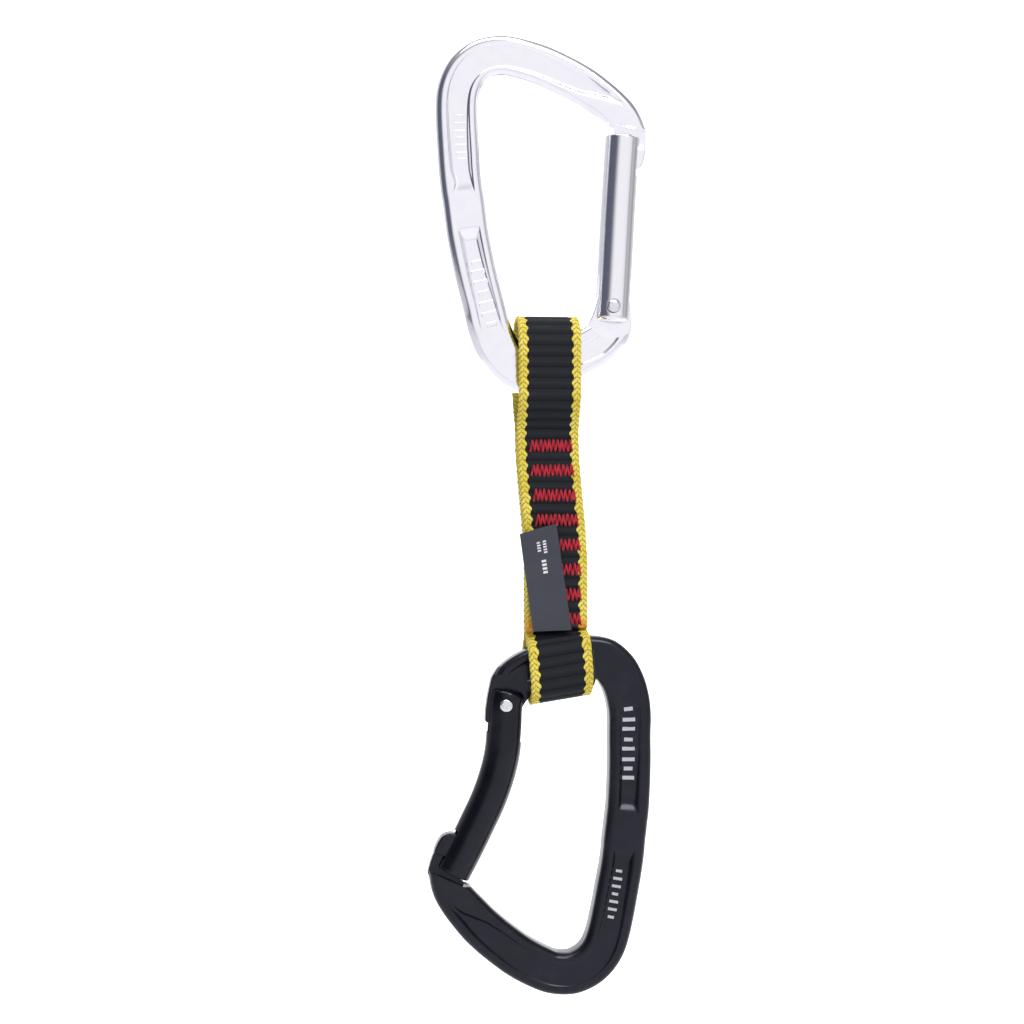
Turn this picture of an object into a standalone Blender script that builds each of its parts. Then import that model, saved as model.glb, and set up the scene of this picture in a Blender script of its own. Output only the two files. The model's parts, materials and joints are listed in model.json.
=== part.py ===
"""Climbing quickdraw: two carabiners joined by a sewn webbing sling, hanging.

Lengths are in millimetres and are turned into metres when a mesh is made. +Z is
up, the front faces -Y, and the origin is the hang point: the inside of the top
bow of the upper carabiner. Each carabiner is drawn in its own frame: the hinge
axis is the origin, z runs from the hinge to the nose, x runs towards the spine.
"""

import math

import bpy
from mathutils import Matrix, Vector

MM = 0.001

# Where each carabiner sits: hinge x, hinge z, and its x and z directions' angle.
UPPER_HINGE = (31.4, -63.9)
UPPER_LEAN = 4.0
LOWER_HINGE_X = 1.3
LOWER_LEAN = 18.0

# Touching pieces and running fits keep this gap.
GAP = 0.3

# Forged frame. Rows run from the nose shoulder round the top bow, down the spine
# and through the basket to the hinge: x and z of the middle, width added to
# FRAME_WIDTH and share of the pocket's depth. The rows by the nose also say which
# way they face, in degrees from z towards x.
FRAME_WIDTH = 11.8
FRAME_THICKNESS = 9.0
BASKET_THICKNESS = 8.4
EDGE_RADIUS = 2.2
BASKET_RADIUS = 4.0
POCKET_DEPTH = 1.5
POCKET_HALF_WIDTH = 3.0
POCKET_WALL = 0.7
NOSE_FACING = (-7.0, 16.0, 32.0, 47.0, 56.0)
NOSE_ARM = (
    (-0.35, 50.8, 0.0, 0.0),
    (0.8, 52.4, -0.9, 0.0),
    (2.4, 54.2, -0.9, 0.0),
    (4.9, 56.2, -0.9, 0.0),
    (8.7, 58.6, -0.5, 0.0),
    (12.6, 60.8, -0.2, 0.7),
    (18.4, 63.3, 0.0, 1.0),
    (25.9, 65.8, 0.1, 1.0),
    (33.5, 67.1, 0.0, 1.0),
    (37.3, 66.9, 0.0, 1.0),
    (40.9, 65.8, 0.0, 1.0),
    (43.4, 64.0, 0.0, 1.0),
    (45.4, 61.7, 0.0, 1.0),
    (46.8, 58.8, 0.0, 1.0),
    (47.5, 55.5, 0.1, 1.0),
    (47.5, 51.5, 0.1, 1.0),
)
SPINE = (
    (47.0, 46.2, 0.1, 1.0),
    (46.2, 40.0, 0.1, 1.0),
    (45.4, 34.0, 0.0, 1.0),
    (44.5, 29.0, 0.0, 0.6),
    (43.8, 26.0, 0.0, 0.0),
    (42.3, 18.5, 0.0, 0.0),
    (41.6, 15.5, 0.0, 0.6),
    (40.1, 10.0, 0.0, 1.0),
    (38.3, 4.0, 0.0, 1.0),
    (36.3, -2.0, 0.0, 1.0),
    (34.4, -8.0, 0.1, 0.4),
)
BASKET = (
    (32.4, -12.3, 0.2, 0.0),
    (29.8, -16.0, 0.2, 0.0),
    (26.6, -18.9, 0.2, 0.0),
    (22.9, -20.4, 0.3, 0.0),
    (19.0, -19.8, 0.5, 0.0),
    (14.7, -17.5, 0.6, 0.0),
    (8.6, -14.2, 0.6, 0.0),
)
HINGE_END = (
    (3.6, -10.8, 0.3, 0.0),
    (0.7, -7.4, 0.0, 0.0),
    (0.0, -3.0, 0.0, 0.0),
)
FRAME_STATIONS = 66
CORNER_POINTS = 4

# Hinge: the frame narrows to a tang that stands in the gate's slot.
SHOULDER_RADIUS = 8.8
TANG_THICKNESS = 4.0
TANG = (
    (-2.5, -13.0), (3.0, -14.5), (8.2, -10.5), (7.4, -6.6), (6.1, -4.7),
    (5.2, -2.4), (4.5, 0.5), (3.9, 3.5), (2.8, 5.5), (1.6, 6.2), (-3.9, 6.2),
    (-4.8, 3.0), (-5.5, -1.0), (-6.0, -6.0), (-5.2, -9.2),
)
TANG_TOP = 6.2
RIVET_RADIUS = 1.4
RIVET_HEAD_WIDER = 0.35
RIVET_HEAD_SUNK = 0.45
RIVET_HEAD_PROUD = 0.3
RIVET_HEAD_BEVEL = 0.35

# Nose: a thin neck with a wider end that fills a keyhole in the gate.
NECK_THICKNESS = 3.2
NOSE_THICKNESS = 5.0
NECK = (
    (4.4, 54.0), (-3.8, 54.0), (-6.2, 51.0), (-6.4, 48.0), (-6.3, 44.0),
    (-5.9, 41.5), (2.2, 43.0), (2.7, 46.0), (2.7, 49.8), (4.4, 50.5),
)
NOSE = (
    (2.8, 45.2), (-6.5, 45.2), (-6.2, 42.0), (-5.6, 39.9), (-4.1, 38.7),
    (-2.5, 38.2), (-0.2, 38.7), (1.4, 40.2), (2.4, 42.5),
)

# Gates: a round bar, straight on the upper carabiner and bent on the lower one.
GATE_RADIUS = 5.05
GATE_CHAMFER = 0.6
GATE_SIDES = 24
STRAIGHT_GATE = ((-0.4, -4.2), (-0.3, 8.0), (0.0, 28.0), (0.1, 48.3))
BENT_GATE = (
    (-0.3, -4.2), (0.4, 0.5), (1.9, 6.0), (3.5, 13.0), (4.05, 20.0),
    (3.8, 27.0), (2.9, 34.0), (1.9, 41.0), (0.5, 49.2),
)
STRAIGHT_RINGS = 4
BENT_RINGS = 16
SLOT_CLEARANCE = 2.5
KEYHOLE_GAP = 0.4
KEYHOLE_INNER_X = 3.2
KEYHOLE_LOW = 37.4
KEYHOLE_STEP = 45.7

# Gate spring and plunger in a blind bore that starts at the hinge axis.
BORE_TILT_DEG = {"upper": 0.0, "lower": 12.0}
BORE_RADIUS = 2.5
BORE_END = {"upper": 29.7, "lower": 24.4}
PLUNGER_FOOT = {"upper": 0.3, "lower": 0.65}
PLUNGER_PIN_LENGTH = 4.1
PLUNGER_HEAD_LENGTH = 2.2
PLUNGER_PIN_RADIUS = 1.5
WIRE_RADIUS = 0.28
COILS = {"upper": 9, "lower": 6}
COIL_STEPS = 12
WIRE_SIDES = 6

# Sling: one webbing strip wound into two loops, three layers thick in between.
WEB_WIDTH = 17.6
WEB_THICKNESS = 1.8
STACK_SHIFT = -0.5
SLING_LEFT = 4.3
UPPER_ROOM = 2.6
UPPER_FOLD_Z = -75.4
UPPER_JOIN_TOP = -88.5
UPPER_JOIN_END = -99.3
INNER_END_Z = -99.8
STACK_LENGTH = 55.3
SLING_DRIFT = 2.5
LOOP_STEP = 1.3
FRONT_END_UP = 0.4
LOWER_JOIN_LENGTH = 4.8
LOWER_ROD_DOWN = 9.2
LOWER_ROOM = 0.3
LOWER_HINGE_DOWN = 20.6
FOLD_STEPS = 14
SLANT_DEG = 9.0
SLANT_START_UP = 2.6
SLANT_LENGTH = 5.5

# Bar tacks through all three layers, and the sewn-in label.
TACK_COUNT = 8
TACK_FIRST_DOWN = 3.6
TACK_LAST_UP = 3.3
TACK_SIDE_MARGIN = 2.5
TACK_HEIGHT = 4.0
TACK_BAR = 0.6
TACK_LEG = 1.0
TACK_SHIFT = 0.7
LABEL_CORNERS = ((-10.8, 26.7), (-0.6, 29.6), (3.9, -0.1), (-6.9, -0.4))
LABEL_THICKNESS = 0.5

# Rubber keeper that lines the lower loop and shows past its right edge.
KEEPER_THICKNESS = 0.8
KEEPER_ROOM = 1.1
KEEPER_LENGTH = 4.5
KEEPER_LEFT_IN = 3.9
KEEPER_RIGHT_OUT = 0.9

COLOURS = {
    "upper_frame": (0.62, 0.64, 0.66),
    "upper_gate": (0.66, 0.67, 0.69),
    "lower_frame": (0.05, 0.055, 0.07),
    "lower_gate": (0.04, 0.045, 0.055),
    "rivet": (0.75, 0.75, 0.76),
    "spring": (0.55, 0.56, 0.58),
    "plunger": (0.5, 0.47, 0.4),
    "sling_webbing": (0.06, 0.065, 0.08),
    "tack": (0.5, 0.02, 0.05),
    "label": (0.11, 0.12, 0.15),
    "keeper": (0.02, 0.022, 0.02),
}


def clear_scene():
    for obj in list(bpy.data.objects):
        bpy.data.objects.remove(obj, do_unlink=True)


def colour(obj, key, metal):
    """Give the object a Principled material of its own."""
    material = bpy.data.materials.new(obj.name + "_colour")
    material.use_nodes = True
    shader = material.node_tree.nodes["Principled BSDF"]
    shader.inputs["Base Color"].default_value = (*COLOURS[key], 1.0)
    shader.inputs["Metallic"].default_value = 1.0 if metal else 0.0
    shader.inputs["Roughness"].default_value = 0.3 if metal else 0.8
    obj.data.materials.append(material)


def add(name, points, faces, place=None):
    """An object from points in millimetres in its own frame."""
    mesh = bpy.data.meshes.new(name)
    mesh.from_pydata([Vector(p) * MM for p in points], [], faces)
    mesh.validate()
    obj = bpy.data.objects.new(name, mesh)
    bpy.context.collection.objects.link(obj)
    if place is not None:
        obj.matrix_world = place
    return obj


def lofted(name, rings, place=None):
    """A closed solid through rings of points, with a flat cap at each end."""
    count = len(rings[0])
    points = [point for ring in rings for point in ring]
    faces = []
    for ring in range(len(rings) - 1):
        here, there = ring * count, (ring + 1) * count
        for i in range(count):
            j = (i + 1) % count
            faces.append((here + i, here + j, there + j, there + i))
    faces.append(tuple(reversed(range(count))))
    faces.append(tuple(range((len(rings) - 1) * count, len(rings) * count)))
    if inside_out(points, faces):
        faces = [tuple(reversed(face)) for face in faces]
    return add(name, points, faces, place)


def inside_out(points, faces):
    volume = 0.0
    for face in faces:
        a = Vector(points[face[0]])
        for i in range(1, len(face) - 1):
            b, c = Vector(points[face[i]]), Vector(points[face[i + 1]])
            volume += a.dot(b.cross(c))
    return volume < 0


def plate(name, outline, low_y, high_y, place=None):
    """An outline in x and z, given thickness from low_y to high_y."""
    rings = [[(x, y, z) for x, z in outline] for y in (low_y, high_y)]
    return lofted(name, rings, place)


def box(name, low, high, place=None):
    outline = ((low[0], low[2]), (high[0], low[2]), (high[0], high[2]), (low[0], high[2]))
    return plate(name, outline, low[1], high[1], place)


def circle(radius, sides):
    step = 2 * math.pi / sides
    return [(radius * math.cos(i * step), radius * math.sin(i * step)) for i in range(sides)]


def cross_pin(name, steps, sides, place=None):
    """A pin along y: steps are (y, radius) from one end to the other."""
    rings = [[(x, y, z) for x, z in circle(radius, sides)] for y, radius in steps]
    return lofted(name, rings, place)


def long_pin(name, steps, sides, place=None):
    """A pin along z: steps are (z, radius) from one end to the other."""
    rings = [[(x, y, z) for x, y in circle(radius, sides)] for z, radius in steps]
    return lofted(name, rings, place)


def combine(obj, tool, operation):
    """Apply one exact Boolean and remove the tool."""
    modifier = obj.modifiers.new(tool.name, "BOOLEAN")
    modifier.operation = operation
    modifier.solver = "EXACT"
    modifier.object = tool
    bpy.context.view_layer.update()
    graph = bpy.context.evaluated_depsgraph_get()
    mesh = bpy.data.meshes.new_from_object(obj.evaluated_get(graph))
    obj.modifiers.clear()
    obj.data = mesh
    bpy.data.objects.remove(tool, do_unlink=True)


def cut(obj, *tools):
    for tool in tools:
        combine(obj, tool, "DIFFERENCE")


def join(obj, *tools):
    for tool in tools:
        combine(obj, tool, "UNION")


def smooth(knots, value):
    """Catmull-Rom through rows of numbers; value runs over the row numbers."""
    last = len(knots) - 1
    i = min(int(value), last - 1)
    t = value - i
    rows = [knots[max(0, min(last, j))] for j in (i - 1, i, i + 1, i + 2)]
    result = []
    for a, b, c, d in zip(*rows):
        bend = (2 * a - 5 * b + 4 * c - d) * t * t + (3 * b - 3 * c + d - a) * t ** 3
        result.append(0.5 * (2 * b + (c - a) * t + bend))
    return result


def even_rows(knots, stations, fine=24):
    """Rows at even distances along the line that the first two numbers draw."""
    dense = [smooth(knots, i / fine) for i in range((len(knots) - 1) * fine + 1)]
    lengths = [0.0]
    for a, b in zip(dense, dense[1:]):
        lengths.append(lengths[-1] + math.dist(a[:2], b[:2]))
    rows, j = [], 0
    for station in range(stations):
        want = lengths[-1] * station / (stations - 1)
        while j < len(dense) - 2 and lengths[j + 1] < want:
            j += 1
        part = (want - lengths[j]) / max(lengths[j + 1] - lengths[j], 1e-9)
        rows.append([a + (b - a) * part for a, b in zip(dense[j], dense[j + 1])])
    return rows


def headings(rows):
    """Unit direction of travel in x and z at each row."""
    found = []
    for i in range(len(rows)):
        a, b = rows[max(0, i - 1)], rows[min(len(rows) - 1, i + 1)]
        length = math.dist(a[:2], b[:2])
        found.append(((b[0] - a[0]) / length, (b[1] - a[1]) / length))
    return found


def frame_rows():
    """Middle, half width as a vector, thickness, corner radius and pocket depth."""
    path = NOSE_ARM + SPINE + BASKET + HINGE_END
    solid = [(FRAME_THICKNESS, EDGE_RADIUS)] * len(NOSE_ARM + SPINE)
    solid += [(BASKET_THICKNESS, BASKET_RADIUS)] * len(BASKET)
    solid += [(BASKET_THICKNESS, EDGE_RADIUS)] * len(HINGE_END)
    ways = headings(path)
    for i, facing in enumerate(NOSE_FACING):
        angle = math.radians(facing)
        ways[i] = (math.sin(angle), math.cos(angle))
    rows = []
    for (x, z, wider, pocket), way, (thick, radius) in zip(path, ways, solid):
        half = (FRAME_WIDTH + wider) / 2
        rows.append((x, z, half * way[1], -half * way[0], thick, radius, pocket))
    return even_rows(rows, FRAME_STATIONS)


def section(half_width, half_thickness, radius, depth):
    """Rounded rectangle with a shallow pocket in both faces, as (u, v) points."""
    rim = min(POCKET_HALF_WIDTH, 0.8 * (half_width - radius))
    floor = max(0.3, rim - POCKET_WALL)
    quarter = []
    for i in range(CORNER_POINTS):
        angle = math.pi / 2 * i / (CORNER_POINTS - 1)
        u = half_width - radius + radius * math.cos(angle)
        v = half_thickness - radius + radius * math.sin(angle)
        quarter.append((u, v))
    quarter += [(rim, half_thickness), (floor, half_thickness - depth)]
    left = [(-u, v) for u, v in reversed(quarter)]
    front = quarter + left
    return front + [(-u, -v) for u, v in front]


def make_frame(name, place):
    rings = []
    for x, z, half_x, half_z, thickness, radius, pocket in frame_rows():
        depth = POCKET_DEPTH * min(1.0, max(0.0, pocket))
        radius = min(radius, thickness / 2 - 0.1)
        half = math.hypot(half_x, half_z)
        ring = []
        for u, v in section(half, thickness / 2, radius, depth):
            ring.append((x + u * half_x / half, v, z + u * half_z / half))
        rings.append(ring)
    frame = lofted(name, rings, place)
    reach = FRAME_THICKNESS
    shoulder = cross_pin("shoulder", ((-reach, SHOULDER_RADIUS), (reach, SHOULDER_RADIUS)), 48, place)
    cut(frame, shoulder)
    join(
        frame,
        plate("tang", TANG, -TANG_THICKNESS / 2, TANG_THICKNESS / 2, place),
        plate("neck", NECK, -NECK_THICKNESS / 2, NECK_THICKNESS / 2, place),
        plate("nose", NOSE, -NOSE_THICKNESS / 2, NOSE_THICKNESS / 2, place),
    )
    hole = RIVET_RADIUS + GAP
    cut(frame, cross_pin("hole", ((-reach, hole), (reach, hole)), 24, place))
    return frame


def gate_cutters(side, bore_place, place):
    """Hinge slot, rivet hole and its sinks, spring bore and the nose keyhole."""
    reach = 2 * GATE_RADIUS
    slot = TANG_THICKNESS / 2 + GAP
    hole = RIVET_RADIUS + GAP
    sink = hole + RIVET_HEAD_WIDER
    sink_floor = GATE_RADIUS - RIVET_HEAD_SUNK - GAP
    slot_top = TANG_TOP + SLOT_CLEARANCE
    neck = NECK_THICKNESS / 2 + KEYHOLE_GAP
    nose = NOSE_THICKNESS / 2 + KEYHOLE_GAP
    far = KEYHOLE_STEP + reach
    bore = ((TANG_TOP, BORE_RADIUS), (BORE_END[side], BORE_RADIUS))
    return (
        box("slot", (-reach, -slot, -reach), (reach, slot, slot_top), place),
        long_pin("bore", bore, 20, bore_place),
        cross_pin("hole", ((-reach, hole), (reach, hole)), 24, place),
        cross_pin("sink_a", ((sink_floor, sink), (reach, sink)), 24, place),
        cross_pin("sink_b", ((-reach, sink), (-sink_floor, sink)), 24, place),
        box("keyhole", (-reach, -nose, KEYHOLE_LOW), (KEYHOLE_INNER_X, nose, KEYHOLE_STEP), place),
        box("keyslot", (-reach, -neck, KEYHOLE_LOW + 1), (KEYHOLE_INNER_X, neck, far), place),
    )


def make_gate(name, side, line, ring_count, bore_place, place):
    rows = even_rows(line, ring_count)
    ways = headings(rows)
    first, last = rows[0], rows[-1]
    inset = GATE_CHAMFER
    stations = [(first, ways[0], GATE_RADIUS - inset)]
    moved = [first[i] + ways[0][i] * inset for i in (0, 1)]
    stations.append((moved, ways[0], GATE_RADIUS))
    stations += [(row, way, GATE_RADIUS) for row, way in zip(rows[1:-1], ways[1:-1])]
    moved = [last[i] - ways[-1][i] * inset for i in (0, 1)]
    stations.append((moved, ways[-1], GATE_RADIUS))
    stations.append((last, ways[-1], GATE_RADIUS - inset))
    rings = []
    for (x, z), way, radius in stations:
        ring = [(x + u * way[1], v, z - u * way[0]) for u, v in circle(radius, GATE_SIDES)]
        rings.append(ring)
    gate = lofted(name, rings, place)
    cut(gate, *gate_cutters(side, bore_place, place))
    return gate


def make_rivet(name, place):
    edge = RIVET_RADIUS + RIVET_HEAD_WIDER
    inner, outer = GATE_RADIUS - RIVET_HEAD_SUNK, GATE_RADIUS + RIVET_HEAD_PROUD
    top = edge - 2 * RIVET_HEAD_BEVEL
    half = ((inner, RIVET_RADIUS), (inner, edge), (outer - RIVET_HEAD_BEVEL, edge), (outer, top))
    steps = [(-y, radius) for y, radius in reversed(half)] + list(half)
    return cross_pin(name, steps, 20, place)


def plunger_levels(side):
    """Heights along the bore of the plunger's foot, step and top."""
    foot = TANG_TOP + PLUNGER_FOOT[side]
    step = foot + PLUNGER_PIN_LENGTH
    return foot, step, step + PLUNGER_HEAD_LENGTH


def make_plunger(name, side, bore_place):
    foot, step, top = plunger_levels(side)
    pin, head = PLUNGER_PIN_RADIUS, BORE_RADIUS - GAP
    steps = ((foot, 0.8 * pin), (foot + 0.2 * pin, pin), (step, pin), (step, head), (top, head))
    return long_pin(name, steps, 20, bore_place)


def make_spring(name, side, bore_place):
    """A coil whose two ends are closed flat against the plunger and the bore."""
    start = plunger_levels(side)[2] + GAP + WIRE_RADIUS
    coil = BORE_RADIUS - GAP - WIRE_RADIUS
    end = BORE_END[side] - GAP - WIRE_RADIUS
    turns = COILS[side]
    steps = turns * COIL_STEPS
    pitch = 2 * WIRE_RADIUS + 0.08
    rings = []
    for i in range(steps + 1):
        turn = i / COIL_STEPS
        close = min(turn, 1.0) + max(0.0, turn - (turns - 1))
        open_turns = turn - close
        rise = (end - start - 2 * pitch) / (turns - 2)
        height = start + close * pitch + open_turns * rise
        angle = 2 * math.pi * turn
        ring = []
        for u, v in circle(WIRE_RADIUS, WIRE_SIDES):
            reach = coil + u
            ring.append((reach * math.cos(angle), reach * math.sin(angle), height + v))
        rings.append(ring)
    return lofted(name, rings, bore_place)


def placed(hinge, x_way, z_way):
    """World matrix of a carabiner from its x and z directions in the X-Z plane."""
    x_axis = Vector((x_way[0], 0, x_way[1]))
    z_axis = Vector((z_way[0], 0, z_way[1]))
    y_axis = z_axis.cross(x_axis)
    turn = Matrix((x_axis, y_axis, z_axis)).transposed().to_4x4()
    return Matrix.Translation(Vector((hinge[0], 0, hinge[1])) * MM) @ turn


def carabiner_places():
    up, down = math.radians(UPPER_LEAN), math.radians(LOWER_LEAN)
    upper = placed(
        UPPER_HINGE, (-math.cos(up), math.sin(up)), (math.sin(up), math.cos(up))
    )
    hinge = (LOWER_HINGE_X, LOWER_JOIN_TOP - LOWER_HINGE_DOWN)
    lower = placed(
        hinge, (math.cos(down), -math.sin(down)), (-math.sin(down), -math.cos(down))
    )
    return {"upper": upper, "lower": lower}


def make_carabiner(side, place, line, ring_count):
    bore_place = place @ Matrix.Rotation(math.radians(BORE_TILT_DEG[side]), 4, "Y")
    colour(make_frame(side + "_frame", place), side + "_frame", True)
    gate = make_gate(side + "_gate", side, line, ring_count, bore_place, place)
    colour(gate, side + "_gate", True)
    colour(make_rivet(side + "_hinge_rivet", place), "rivet", True)
    colour(make_plunger(side + "_gate_plunger", side, bore_place), "plunger", True)
    colour(make_spring(side + "_gate_spring", side, bore_place), "spring", True)


def ease(t):
    t = min(1.0, max(0.0, t))
    return t * t * (3 - 2 * t)


def joined(start, end, steps):
    """Points of an S-curve in y and z from start to end, ends left out."""
    found = []
    for i in range(1, steps):
        t = i / steps
        y = start[0] + (end[0] - start[0]) * ease(t)
        found.append((y, start[1] + (end[1] - start[1]) * t))
    return found


def straight(y, top, bottom, steps):
    return [(y, top + (bottom - top) * i / steps) for i in range(steps + 1)]


def fold(half, centre_z, upward):
    """Half circle from y = -half to y = +half, over the top or under."""
    found = []
    for i in range(1, FOLD_STEPS):
        angle = math.pi * i / FOLD_STEPS
        rise = half * math.sin(angle)
        found.append((-half * math.cos(angle), centre_z + (rise if upward else -rise)))
    return found


# Levels and half widths of the sling that follow from the sizes above.
LOWER_JOIN_TOP = UPPER_JOIN_END - STACK_LENGTH
LOWER_JOIN_END = LOWER_JOIN_TOP - LOWER_JOIN_LENGTH
LOWER_FOLD_DOWN = LOWER_ROD_DOWN + (FRAME_WIDTH - BASKET_THICKNESS) / 2 + LOWER_ROOM
LOWER_FOLD_Z = LOWER_JOIN_TOP - LOWER_FOLD_DOWN
FRONT_END_Z = LOWER_JOIN_TOP + FRONT_END_UP
UPPER_LOOP_HALF = BASKET_THICKNESS / 2 + UPPER_ROOM + WEB_THICKNESS / 2
KEEPER_HALF = BASKET_THICKNESS / 2 + KEEPER_ROOM + KEEPER_THICKNESS / 2
LOWER_LOOP_HALF = KEEPER_HALF + KEEPER_THICKNESS / 2 + GAP + WEB_THICKNESS / 2
TACK_WIDTH = WEB_WIDTH - 2 * TACK_SIDE_MARGIN


def layer_y(number):
    return STACK_SHIFT + (number - 1) * (WEB_THICKNESS + GAP)


def webbing_line():
    """Centre line of the strip in y and z, from its front end to its inner end."""
    front, middle, back = layer_y(0), layer_y(1), layer_y(2)
    up, low = UPPER_LOOP_HALF, LOWER_LOOP_HALF
    line = straight(front, FRONT_END_Z, UPPER_JOIN_END, 14)
    line += joined((front, UPPER_JOIN_END), (-up, UPPER_JOIN_TOP), 7)
    line += straight(-up, UPPER_JOIN_TOP, UPPER_FOLD_Z, 3)
    line += fold(up, UPPER_FOLD_Z, True)
    line += straight(up, UPPER_FOLD_Z, UPPER_JOIN_TOP, 3)
    line += joined((up, UPPER_JOIN_TOP), (back, UPPER_JOIN_END), 7)
    line += straight(back, UPPER_JOIN_END, LOWER_JOIN_TOP, 14)
    line += joined((back, LOWER_JOIN_TOP), (low, LOWER_JOIN_END), 8)
    line += straight(low, LOWER_JOIN_END, LOWER_FOLD_Z, 2)
    line += list(reversed(fold(low, LOWER_FOLD_Z, False)))
    line += straight(-low, LOWER_FOLD_Z, LOWER_JOIN_END, 2)
    line += joined((-low, LOWER_JOIN_END), (middle, LOWER_JOIN_TOP), 8)
    line += straight(middle, LOWER_JOIN_TOP, INNER_END_Z, 14)
    return line


def sling_centre(z):
    """Middle of the strip's width: it drifts right and steps over at the end."""
    drift = SLING_DRIFT * ease((UPPER_JOIN_END - z) / (0.7 * STACK_LENGTH))
    step = LOOP_STEP * ease((LOWER_JOIN_TOP + SLANT_START_UP - z) / (2 * LOWER_FOLD_DOWN))
    return SLING_LEFT + WEB_WIDTH / 2 + drift + step


def slanted(x, y, z):
    """The lower loop sits square on the slanted rod of the lower carabiner."""
    share = ease((LOWER_JOIN_TOP + SLANT_START_UP - z) / SLANT_LENGTH)
    turn = math.tan(math.radians(SLANT_DEG)) * share
    return (x, y, z + (x - sling_centre(z)) * turn)


def strip(name, line, half_width, half_thickness, shift=0.0):
    """A flat strip along a line in y and z, its width across x."""
    rings = []
    for i, (y, z) in enumerate(line):
        before, after = line[max(0, i - 1)], line[min(len(line) - 1, i + 1)]
        length = math.dist(before, after)
        way = ((after[0] - before[0]) / length, (after[1] - before[1]) / length)
        off = (way[1] * half_thickness, -way[0] * half_thickness)
        centre = sling_centre(z) + shift
        ring = []
        for side, face in ((-1, -1), (1, -1), (1, 1), (-1, 1)):
            x = centre + side * half_width
            ring.append(slanted(x, y + face * off[0], z + face * off[1]))
        rings.append(ring)
    return lofted(name, rings)


def tack_z(number):
    first = UPPER_JOIN_END - TACK_FIRST_DOWN
    last = LOWER_JOIN_TOP + TACK_LAST_UP
    return first + (last - first) * number / (TACK_COUNT - 1)


def stitch_slots():
    """One slot through the layers at each end of each bar tack."""
    slots = []
    for number in range(TACK_COUNT):
        z = tack_z(number)
        centre = sling_centre(z) + TACK_SHIFT
        for side in (-1, 1):
            middle = centre + side * (TACK_WIDTH - TACK_LEG) / 2
            half = TACK_LEG / 2 + GAP
            tall = TACK_HEIGHT / 2 + GAP
            low = (middle - half, layer_y(-1), z - tall)
            high = (middle + half, layer_y(3), z + tall)
            slots.append(box("slot", low, high))
    return slots


def make_tack(number):
    """Thread bundle: a bar on each face, joined through the layers at both ends."""
    z = tack_z(number)
    centre = sling_centre(z) + TACK_SHIFT
    front = layer_y(0) - WEB_THICKNESS / 2 - GAP
    back = layer_y(2) + WEB_THICKNESS / 2 + GAP
    low, high = z - TACK_HEIGHT / 2, z + TACK_HEIGHT / 2
    half = TACK_WIDTH / 2
    tack = box(
        f"bar_tack_{number + 1}",
        (centre - half, front - TACK_BAR, low),
        (centre + half, back + TACK_BAR, high),
    )
    inner = half - TACK_LEG
    cut(tack, box("gap", (centre - inner, front, low - 1), (centre + inner, back, high + 1)))
    colour(tack, "tack", False)
    return tack


def make_label():
    back = layer_y(0) - WEB_THICKNESS / 2 - TACK_BAR - 2 * GAP
    centre = sling_centre(FRONT_END_Z)
    corners = [(centre + x, FRONT_END_Z + z) for x, z in LABEL_CORNERS]
    label = plate("label", corners, back - LABEL_THICKNESS, back)
    colour(label, "label", False)


def make_keeper():
    top = LOWER_FOLD_Z + KEEPER_LENGTH
    line = straight(-KEEPER_HALF, top, LOWER_FOLD_Z, 2)
    line += fold(KEEPER_HALF, LOWER_FOLD_Z, False)
    line += straight(KEEPER_HALF, LOWER_FOLD_Z, top, 2)
    half = (WEB_WIDTH + KEEPER_RIGHT_OUT - KEEPER_LEFT_IN) / 2
    shift = (KEEPER_RIGHT_OUT + KEEPER_LEFT_IN) / 2
    keeper = strip("keeper", line, half, KEEPER_THICKNESS / 2, shift)
    colour(keeper, "keeper", False)


def make_sling():
    webbing = strip("sling_webbing", webbing_line(), WEB_WIDTH / 2, WEB_THICKNESS / 2)
    cut(webbing, *stitch_slots())
    colour(webbing, "sling_webbing", False)
    for number in range(TACK_COUNT):
        make_tack(number)
    make_label()
    make_keeper()


def main():
    clear_scene()
    places = carabiner_places()
    make_carabiner("upper", places["upper"], STRAIGHT_GATE, STRAIGHT_RINGS)
    make_carabiner("lower", places["lower"], BENT_GATE, BENT_RINGS)
    make_sling()


main()
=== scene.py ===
"""Looks of the climbing quickdraw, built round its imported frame.

Lengths are in millimetres until a mesh is made. Each carabiner is drawn in its
own frame: hinge axis at the origin, z towards the nose, x towards the spine.
"""

import json
import math
import random

import bmesh
import bpy
from mathutils import Matrix, Vector, noise


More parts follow.
